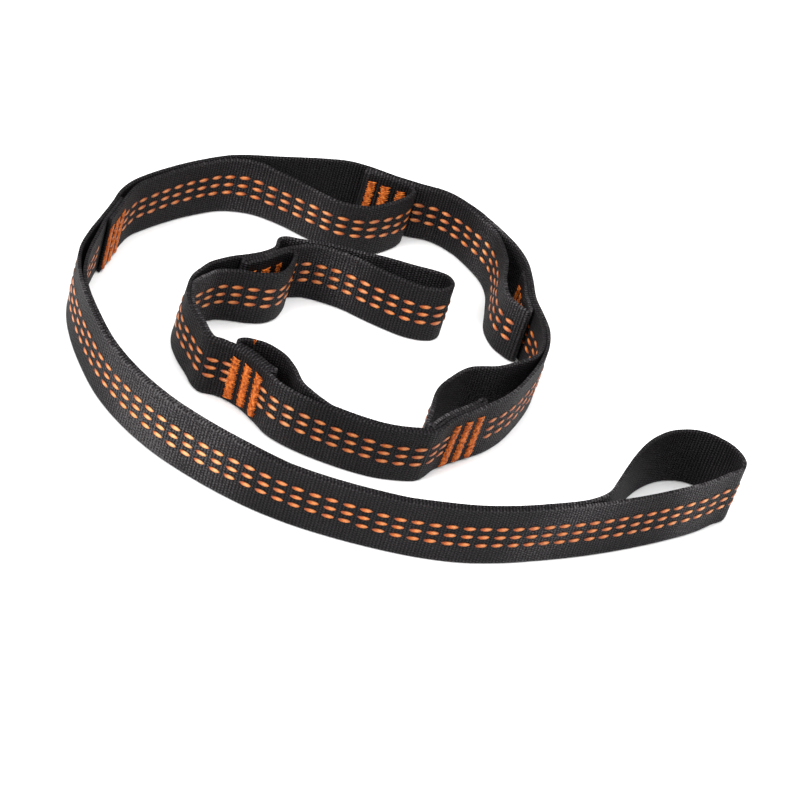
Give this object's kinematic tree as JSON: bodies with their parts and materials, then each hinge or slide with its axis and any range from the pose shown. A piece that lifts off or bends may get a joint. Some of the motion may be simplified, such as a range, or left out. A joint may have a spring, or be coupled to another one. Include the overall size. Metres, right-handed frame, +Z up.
{
  "type": "webbing daisy chain strap",
  "caption": "Webbing strap laid on edge in a loose coil, doubled and bar-tacked into a chain of carabiner pockets, with a long open anchor loop and a short end loop.",
  "frame": {"origin": "centre of the laid strap's bounding box, on the surface it stands on", "axes": "+X along the laid coil's longest extent towards the open anchor eye, +Y away from the near long side of the anchor loop, +Z up across the webbing's width"},
  "size_m": [0.2579, 0.1996, 0.025],
  "materials": {
    "webbing": "matte",
    "thread": "satin",
    "tack_thread": "satin"
  },
  "bodies": {
    "anchor_loop": {"anchor_loop_webbing": "webbing", "pocket_webbing_start": "webbing", "anchor_loop_threads": "thread", "bar_tack_a": "tack_thread"},
    "section_1": {"base_webbing_1": "webbing", "pocket_webbing_1": "webbing", "base_threads_1": "thread", "pocket_threads_1": "thread", "bar_tack_b": "tack_thread"},
    "section_2": {"base_webbing_2": "webbing", "pocket_webbing_2": "webbing", "base_threads_2": "thread", "pocket_threads_2": "thread", "bar_tack_c": "tack_thread"},
    "section_3": {"base_webbing_3": "webbing", "pocket_webbing_3": "webbing", "base_threads_3": "thread", "pocket_threads_3": "thread", "bar_tack_d": "tack_thread"},
    "section_4": {"base_webbing_4": "webbing", "pocket_webbing_4": "webbing", "base_threads_4": "thread", "pocket_threads_4": "thread", "bar_tack_e": "tack_thread"},
    "section_5": {"base_webbing_5": "webbing", "pocket_webbing_5": "webbing", "base_threads_5": "thread", "pocket_threads_5": "thread", "bar_tack_f": "tack_thread"},
    "end_loop": {"end_loop_webbing": "webbing", "end_loop_threads": "thread"}
  },
  "joints": [
    {"name": "flex_a", "type": "hinge", "parent": "anchor_loop", "child": "section_1", "pos_m": [-0.12284, 0.03244, 0.0125], "axis": [0, 0, 1], "range_deg": [-5, 30]},
    {"name": "flex_b", "type": "hinge", "parent": "section_1", "child": "section_2", "pos_m": [-0.01611, 0.09754, 0.0125], "axis": [0, 0, 1], "range_deg": [-4, 10]},
    {"name": "flex_c", "type": "hinge", "parent": "section_2", "child": "section_3", "pos_m": [0.04293, 0.03422, 0.0125], "axis": [0, 0, 1], "range_deg": [-4, 8]},
    {"name": "flex_d", "type": "hinge", "parent": "section_3", "child": "section_4", "pos_m": [0.00587, -0.05761, 0.0125], "axis": [0, 0, 1], "range_deg": [-4, 6]},
    {"name": "flex_e", "type": "hinge", "parent": "section_4", "child": "section_5", "pos_m": [-0.0637, -0.04215, 0.0125], "axis": [0, 0, 1], "range_deg": [-4, 6]},
    {"name": "flex_f", "type": "hinge", "parent": "section_5", "child": "end_loop", "pos_m": [-0.06141, 0.02696, 0.0125], "axis": [0, 0, 1], "range_deg": [-2, 10]}
  ]
}
